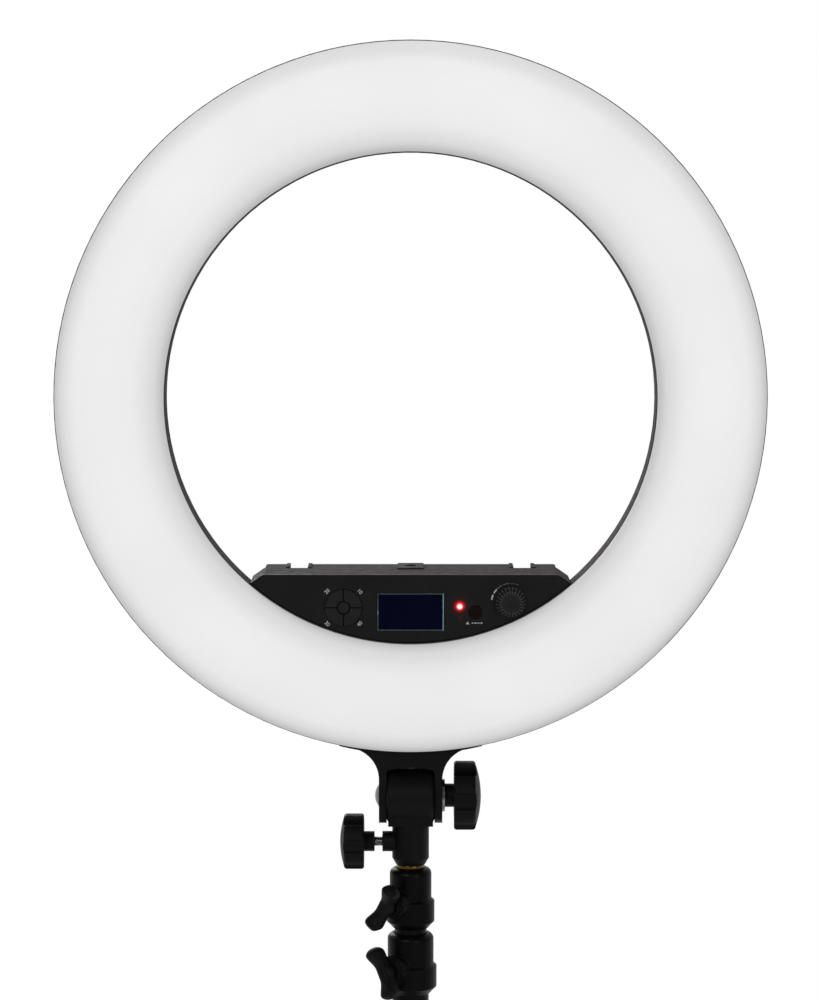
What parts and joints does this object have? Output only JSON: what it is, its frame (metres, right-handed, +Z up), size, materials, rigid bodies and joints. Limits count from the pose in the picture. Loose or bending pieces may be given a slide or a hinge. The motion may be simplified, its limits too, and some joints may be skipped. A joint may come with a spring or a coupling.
{
  "type": "led ring light",
  "caption": "Round LED ring light with a control box in its opening, tilting on a yoke over a collapsed telescopic stand with three folding legs.",
  "frame": {"origin": "on the floor, under the middle of the footprint", "axes": "+Z up, the lit face looks along -Y, +X to the right of someone facing the light"},
  "size_m": [0.7896, 0.6866, 1.2208],
  "materials": {
    "housing_black": "fine moulded texture",
    "diffuser_white": "translucent satin white, lit",
    "board_white": "white coated board",
    "screw_steel": "zinc plated",
    "box_black": "fine moulded texture",
    "fascia_black": "satin printed sheet",
    "screen_glass": "dark navy glass",
    "module_grey": "dull",
    "board_green": "solder mask",
    "key_black": "satin",
    "indicator_red": "lit red",
    "sensor_dark": "dark red",
    "dial_black": "satin",
    "brass": "turned",
    "plate_black": "powder coat",
    "inlet_black": "satin",
    "yoke_black": "powder coated casting",
    "steel": "plated",
    "knob_black": "fine grain",
    "tube_black": "black anodised",
    "collar_black": "satin moulded",
    "bush_grey": "dull",
    "strut_black": "black coated",
    "foot_rubber": "matt"
  },
  "bodies": {
    "base": {"base_tube": "tube_black", "lower_collar": "collar_black", "lower_hub": "collar_black", "end_plug": "collar_black"},
    "leg_slider": {"leg_collar": "collar_black", "leg_pins": "steel"},
    "leg_slider_knob": {"leg_collar_knob": "knob_black"},
    "lower_clamp_knob": {"lower_wing_knob": "knob_black"},
    "middle_column": {"middle_tube": "tube_black", "middle_tube_guide": "bush_grey", "upper_collar": "collar_black"},
    "upper_clamp_knob": {"upper_wing_knob": "knob_black"},
    "top_column": {"top_tube": "tube_black", "top_tube_guide": "bush_grey", "stud": "brass"},
    "swivel": {"knuckle": "yoke_black"},
    "swivel_lock": {"lock_knob": "knob_black", "lock_screw": "steel"},
    "head": {"rear_housing": "housing_black", "diffuser": "diffuser_white", "led_board": "board_white", "ring_screws": "screw_steel", "control_box": "box_black", "fascia": "fascia_black", "screen_lens": "screen_glass", "screen_module": "module_grey", "control_board": "board_green", "indicator_light": "indicator_red", "remote_sensor": "sensor_dark", "dial_encoder": "module_grey", "battery_plates": "plate_black", "accessory_plate": "plate_black", "thread_insert": "brass", "power_inlet": "inlet_black", "switch_frame": "inlet_black", "yoke": "yoke_black", "yoke_screws": "steel", "tilt_bolt": "steel", "tilt_washer": "steel"},
    "tilt_lock": {"tilt_knob": "knob_black"},
    "centre_key": {"centre_key": "key_black"},
    "power_button": {"power_button": "key_black"},
    "dial": {"dial": "dial_black"},
    "power_rocker": {"power_rocker": "inlet_black"},
    "leg_1": {"leg_1": "tube_black", "foot_1": "foot_rubber"},
    "strut_1": {"strut_1": "strut_black"},
    "leg_2": {"leg_2": "tube_black", "foot_2": "foot_rubber"},
    "strut_2": {"strut_2": "strut_black"},
    "leg_3": {"leg_3": "tube_black", "foot_3": "foot_rubber"},
    "strut_3": {"strut_3": "strut_black"},
    "quadrant_key_1": {"quadrant_key_1": "key_black"},
    "quadrant_key_2": {"quadrant_key_2": "key_black"},
    "quadrant_key_3": {"quadrant_key_3": "key_black"},
    "quadrant_key_4": {"quadrant_key_4": "key_black"},
    "battery_release_1": {"battery_release_1": "key_black"},
    "battery_release_2": {"battery_release_2": "key_black"}
  },
  "joints": [
    {"name": "leg_slide", "type": "slide", "parent": "base", "child": "leg_slider", "axis": [0, 0, 1], "range_m": [0, 0.23954]},
    {"name": "leg_1_fold", "type": "hinge", "parent": "leg_slider", "child": "leg_1", "pos_m": [0, 0.08286, 0.2495], "axis": [1, 0, 0], "range_deg": [0, 57.5]},
    {"name": "strut_1_fold", "type": "hinge", "parent": "base", "child": "strut_1", "pos_m": [0, 0.08286, 0.022], "axis": [-1, 0, 0], "range_deg": [0, 59.23]},
    {"name": "leg_2_fold", "type": "hinge", "parent": "leg_slider", "child": "leg_2", "pos_m": [0.02338, 0.12336, 0.2495], "axis": [-0.5, 0.866, 0], "range_deg": [0, 57.5]},
    {"name": "strut_2_fold", "type": "hinge", "parent": "base", "child": "strut_2", "pos_m": [0.02338, 0.12336, 0.022], "axis": [0.5, -0.866, 0], "range_deg": [0, 59.23]},
    {"name": "leg_3_fold", "type": "hinge", "parent": "leg_slider", "child": "leg_3", "pos_m": [-0.02338, 0.12336, 0.2495], "axis": [-0.5, -0.866, 0], "range_deg": [0, 57.5]},
    {"name": "strut_3_fold", "type": "hinge", "parent": "base", "child": "strut_3", "pos_m": [-0.02338, 0.12336, 0.022], "axis": [0.5, 0.866, 0], "range_deg": [0, 59.23]},
    {"name": "leg_slider_knob_turn", "type": "hinge", "parent": "leg_slider", "child": "leg_slider_knob", "pos_m": [0, 0.10986, 0.2635], "axis": [0, 1, 0], "range_deg": [0, 360]},
    {"name": "lower_knob_turn", "type": "hinge", "parent": "base", "child": "lower_clamp_knob", "pos_m": [0, 0.10986, 0.59], "axis": [-0.6428, -0.766, 0], "range_deg": [0, 360]},
    {"name": "middle_slide", "type": "slide", "parent": "base", "child": "middle_column", "axis": [0, 0, 1], "range_m": [0, 0.45]},
    {"name": "upper_knob_turn", "type": "hinge", "parent": "middle_column", "child": "upper_clamp_knob", "pos_m": [0, 0.10986, 0.6354], "axis": [-0.6428, -0.766, 0], "range_deg": [0, 360]},
    {"name": "top_slide", "type": "slide", "parent": "middle_column", "child": "top_column", "axis": [0, 0, 1], "range_m": [0, 0.45]},
    {"name": "head_swivel", "type": "hinge", "parent": "top_column", "child": "swivel", "pos_m": [0, 0.10986, 0.67], "axis": [0, 0, 1], "continuous": true},
    {"name": "swivel_lock_turn", "type": "hinge", "parent": "swivel", "child": "swivel_lock", "pos_m": [0, 0.10986, 0.6765], "axis": [-1, 0, 0], "range_deg": [0, 360]},
    {"name": "head_tilt", "type": "hinge", "parent": "swivel", "child": "head", "pos_m": [0, 0.10986, 0.7084], "axis": [1, 0, 0], "range_deg": [-90, 90]},
    {"name": "tilt_lock_turn", "type": "hinge", "parent": "head", "child": "tilt_lock", "pos_m": [0, 0.10986, 0.7084], "axis": [1, 0, 0], "range_deg": [0, 360]},
    {"name": "quadrant_key_1_press", "type": "slide", "parent": "head", "child": "quadrant_key_1", "axis": [0, 1, 0], "range_m": [0, 0.0008], "stiffness_N_per_m": 400},
    {"name": "quadrant_key_2_press", "type": "slide", "parent": "head", "child": "quadrant_key_2", "axis": [0, 1, 0], "range_m": [0, 0.0008], "stiffness_N_per_m": 400},
    {"name": "quadrant_key_3_press", "type": "slide", "parent": "head", "child": "quadrant_key_3", "axis": [0, 1, 0], "range_m": [0, 0.0008], "stiffness_N_per_m": 400},
    {"name": "quadrant_key_4_press", "type": "slide", "parent": "head", "child": "quadrant_key_4", "axis": [0, 1, 0], "range_m": [0, 0.0008], "stiffness_N_per_m": 400},
    {"name": "centre_key_press", "type": "slide", "parent": "head", "child": "centre_key", "axis": [0, 1, 0], "range_m": [0, 0.0008], "stiffness_N_per_m": 400},
    {"name": "power_button_press", "type": "slide", "parent": "head", "child": "power_button", "axis": [0, 1, 0], "range_m": [0, 0.0008], "stiffness_N_per_m": 400},
    {"name": "dial_turn", "type": "hinge", "parent": "head", "child": "dial", "pos_m": [0.0677, 0.09487, 0.8438], "axis": [0, -1, 0], "continuous": true},
    {"name": "power_rocker_throw", "type": "hinge", "parent": "head", "child": "power_rocker", "pos_m": [0.018, 0.15387, 0.8308], "axis": [-1, 0, 0], "range_deg": [0, 14]},
    {"name": "battery_release_1_press", "type": "slide", "parent": "head", "child": "battery_release_1", "axis": [0, -1, 0], "range_m": [0, 0.0016], "stiffness_N_per_m": 400},
    {"name": "battery_release_2_press", "type": "slide", "parent": "head", "child": "battery_release_2", "axis": [0, -1, 0], "range_m": [0, 0.0016], "stiffness_N_per_m": 400}
  ],
  "couplings": [
    {"joint": "leg_1_fold", "follows": "leg_slide", "rad_per_m": 4.1894},
    {"joint": "strut_1_fold", "follows": "leg_slide", "rad_per_m": 4.3151},
    {"joint": "leg_2_fold", "follows": "leg_slide", "rad_per_m": 4.1894},
    {"joint": "strut_2_fold", "follows": "leg_slide", "rad_per_m": 4.3151},
    {"joint": "leg_3_fold", "follows": "leg_slide", "rad_per_m": 4.1894},
    {"joint": "strut_3_fold", "follows": "leg_slide", "rad_per_m": 4.3151}
  ]
}
